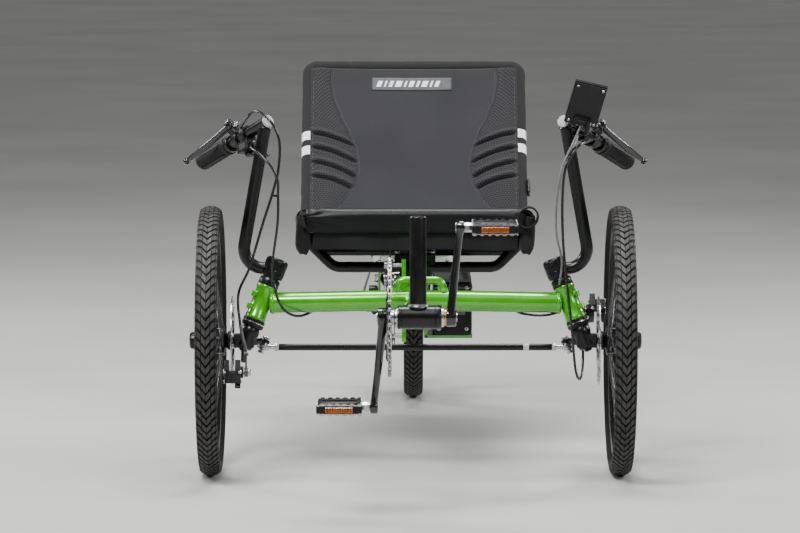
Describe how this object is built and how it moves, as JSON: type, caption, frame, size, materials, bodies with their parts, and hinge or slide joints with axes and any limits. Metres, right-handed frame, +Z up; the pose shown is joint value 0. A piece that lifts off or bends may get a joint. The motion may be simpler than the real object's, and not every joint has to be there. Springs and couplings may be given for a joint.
{
  "type": "recumbent tricycle",
  "caption": "Adult recumbent tadpole tricycle: two steered front wheels, driven rear wheel, sling seat, side handlebars, pedals on a boom.",
  "frame": {"origin": "on the ground, at the middle of the bounding box's base", "axes": "+Z up, -Y the way the rider faces and rolls forward, +X to the rider's left"},
  "size_m": [0.846, 1.9442, 0.7178],
  "materials": {
    "frame_paint": "gloss lime green paint",
    "black_paint": "satin black paint",
    "black_alloy": "black anodised",
    "bare_steel": "bright steel",
    "tyre_rubber": "matt black rubber",
    "grip_rubber": "matt black rubber",
    "seat_cloth": "dark grey woven cloth",
    "black_plastic": "matt black",
    "grey_plastic": "matt grey",
    "amber_plastic": "amber reflector"
  },
  "bodies": {
    "frame": {"frame_main": "frame_paint", "boom": "black_paint", "headset_right": "black_paint", "headset_left": "black_paint", "chain": "bare_steel", "derailleur": "black_alloy", "derailleur_cage": "black_alloy", "seat_frame": "black_paint", "seat_base": "seat_cloth", "seat_back": "seat_cloth", "battery_case": "black_plastic", "shift_cable": "black_plastic"},
    "steer_right": {"knuckle_right": "black_alloy", "calliper_right": "black_alloy", "handlebar_right": "black_paint", "grip_right": "grip_rubber", "brake_perch_right": "black_alloy", "cables_right": "black_plastic", "shifter": "black_plastic"},
    "steer_left": {"knuckle_left": "black_alloy", "calliper_left": "black_alloy", "handlebar_left": "black_paint", "grip_left": "grip_rubber", "brake_perch_left": "black_alloy", "brake_cable_left": "black_plastic", "display_mount": "black_plastic", "keypad": "black_plastic"},
    "wheel_right": {"tyre_right": "tyre_rubber", "rim_right": "black_alloy", "hub_right": "black_alloy", "rotor_right": "bare_steel"},
    "wheel_left": {"tyre_left": "tyre_rubber", "rim_left": "black_alloy", "hub_left": "black_alloy", "rotor_left": "bare_steel"},
    "wheel_rear": {"tyre_rear": "tyre_rubber", "rim_rear": "black_alloy", "hub_rear": "black_alloy"},
    "cassette": {"cassette": "bare_steel"},
    "crank": {"crank_right": "black_alloy", "crank_left": "black_alloy", "chainring": "black_alloy"},
    "pedal_right": {"pedal_right": "black_alloy", "reflector_right": "amber_plastic"},
    "pedal_left": {"pedal_left": "black_alloy", "reflector_left": "amber_plastic"},
    "idler_drive": {"idler_drive": "black_plastic"},
    "idler_return": {"idler_return": "black_plastic"},
    "jockey_guide": {"jockey_guide": "black_plastic"},
    "jockey_tension": {"jockey_tension": "black_plastic"},
    "rod_end_right": {"rod_end_right": "bare_steel"},
    "rod_end_left": {"rod_end_left": "bare_steel"},
    "tie_rod": {"tie_rod": "black_paint"},
    "brake_lever_right": {"brake_lever_right": "black_alloy"},
    "brake_lever_left": {"brake_lever_left": "black_alloy"},
    "calliper_arm_right": {"calliper_arm_right": "bare_steel"},
    "calliper_arm_left": {"calliper_arm_left": "bare_steel"},
    "shift_paddle": {"shift_paddle": "black_plastic"},
    "display": {"display": "black_plastic"},
    "keypad_button": {"keypad_button": "grey_plastic"}
  },
  "joints": [
    {"name": "steer", "type": "hinge", "parent": "frame", "child": "steer_right", "pos_m": [-0.3049, -0.3708, 0.243], "axis": [0.362, 0.1938, 0.9118], "range_deg": [-28, 28]},
    {"name": "steer_left_pivot", "type": "hinge", "parent": "frame", "child": "steer_left", "pos_m": [0.3049, -0.3708, 0.243], "axis": [-0.362, 0.1938, 0.9118], "range_deg": [-28, 28]},
    {"name": "rod_end_right_pivot", "type": "hinge", "parent": "steer_right", "child": "rod_end_right", "pos_m": [-0.278, -0.3108, 0.224], "axis": [0.362, 0.1938, 0.9118], "range_deg": [-32, 32]},
    {"name": "rod_end_left_pivot", "type": "hinge", "parent": "steer_left", "child": "rod_end_left", "pos_m": [0.278, -0.3108, 0.224], "axis": [-0.362, 0.1938, 0.9118], "range_deg": [-32, 32]},
    {"name": "tie_rod_tilt", "type": "hinge", "parent": "rod_end_right", "child": "tie_rod", "pos_m": [-0.278, -0.3108, 0.224], "axis": [0, 1, 0], "range_deg": [-2.6, 2.6]},
    {"name": "wheel_right_spin", "type": "hinge", "parent": "steer_right", "child": "wheel_right", "pos_m": [-0.3685, -0.3708, 0.243], "axis": [1, 0, 0], "continuous": true},
    {"name": "wheel_left_spin", "type": "hinge", "parent": "steer_left", "child": "wheel_left", "pos_m": [0.3685, -0.3708, 0.243], "axis": [1, 0, 0], "continuous": true},
    {"name": "wheel_rear_spin", "type": "hinge", "parent": "frame", "child": "wheel_rear", "pos_m": [0, 0.7292, 0.243], "axis": [1, 0, 0], "continuous": true},
    {"name": "crank_spin", "type": "hinge", "parent": "frame", "child": "crank", "pos_m": [0, -0.8708, 0.341], "axis": [1, 0, 0], "continuous": true},
    {"name": "cassette_spin", "type": "hinge", "parent": "frame", "child": "cassette", "pos_m": [-0.046, 0.7292, 0.243], "axis": [1, 0, 0], "continuous": true},
    {"name": "pedal_right_spin", "type": "hinge", "parent": "crank", "child": "pedal_right", "pos_m": [-0.131, -0.8708, 0.189], "axis": [1, 0, 0], "continuous": true},
    {"name": "pedal_left_spin", "type": "hinge", "parent": "crank", "child": "pedal_left", "pos_m": [0.131, -0.8708, 0.493], "axis": [1, 0, 0], "continuous": true},
    {"name": "idler_drive_spin", "type": "hinge", "parent": "frame", "child": "idler_drive", "pos_m": [-0.046, -0.2, 0.363], "axis": [1, 0, 0], "continuous": true},
    {"name": "idler_return_spin", "type": "hinge", "parent": "frame", "child": "idler_return", "pos_m": [-0.046, -0.2, 0.232], "axis": [1, 0, 0], "continuous": true},
    {"name": "jockey_guide_spin", "type": "hinge", "parent": "frame", "child": "jockey_guide", "pos_m": [-0.046, 0.735, 0.168], "axis": [1, 0, 0], "continuous": true},
    {"name": "jockey_tension_spin", "type": "hinge", "parent": "frame", "child": "jockey_tension", "pos_m": [-0.046, 0.768, 0.112], "axis": [1, 0, 0], "continuous": true},
    {"name": "brake_lever_right_pull", "type": "hinge", "parent": "steer_right", "child": "brake_lever_right", "pos_m": [-0.335, -0.2938, 0.626], "axis": [-0.6883, -0.1491, 0.7099], "range_deg": [-18, 0], "stiffness_Nm_per_rad": 1},
    {"name": "brake_lever_left_pull", "type": "hinge", "parent": "steer_left", "child": "brake_lever_left", "pos_m": [0.335, -0.2938, 0.626], "axis": [0.6883, -0.1491, 0.7099], "range_deg": [0, 18], "stiffness_Nm_per_rad": 1},
    {"name": "calliper_arm_right_pull", "type": "hinge", "parent": "steer_right", "child": "calliper_arm_right", "pos_m": [-0.304, -0.4148, 0.191], "axis": [1, 0, 0], "range_deg": [0, 22]},
    {"name": "calliper_arm_left_pull", "type": "hinge", "parent": "steer_left", "child": "calliper_arm_left", "pos_m": [0.304, -0.3248, 0.293], "axis": [1, 0, 0], "range_deg": [-22, 0]},
    {"name": "shift_paddle_push", "type": "hinge", "parent": "steer_right", "child": "shift_paddle", "pos_m": [-0.29918, -0.33241, 0.577], "axis": [0.1237, -0.3698, -0.9208], "range_deg": [0, 18], "stiffness_Nm_per_rad": 0.3},
    {"name": "display_tilt", "type": "hinge", "parent": "steer_left", "child": "display", "pos_m": [0.29679, -0.39905, 0.63913], "axis": [0.9707, 0.0893, -0.2231], "range_deg": [-8, 25]},
    {"name": "keypad_button_press", "type": "slide", "parent": "steer_left", "child": "keypad_button", "axis": [0.0244, 0.4327, 0.9012], "range_m": [-0.002, 0], "stiffness_N_per_m": 400}
  ],
  "couplings": [
    {"joint": "steer_left_pivot", "follows": "steer", "ratio": 1},
    {"joint": "rod_end_right_pivot", "follows": "steer", "ratio": -1.1199},
    {"joint": "rod_end_left_pivot", "follows": "steer", "ratio": -1.1092},
    {"joint": "tie_rod_tilt", "follows": "steer", "ratio": 0.0851},
    {"joint": "cassette_spin", "follows": "crank_spin", "ratio": 2.5263},
    {"joint": "idler_drive_spin", "follows": "crank_spin", "ratio": -3.4286},
    {"joint": "idler_return_spin", "follows": "crank_spin", "ratio": -3.4286},
    {"joint": "jockey_guide_spin", "follows": "crank_spin", "ratio": -4.3636},
    {"joint": "jockey_tension_spin", "follows": "crank_spin", "ratio": 4.3636},
    {"joint": "calliper_arm_right_pull", "follows": "brake_lever_right_pull", "ratio": -1.2222},
    {"joint": "calliper_arm_left_pull", "follows": "brake_lever_left_pull", "ratio": -1.2222}
  ]
}
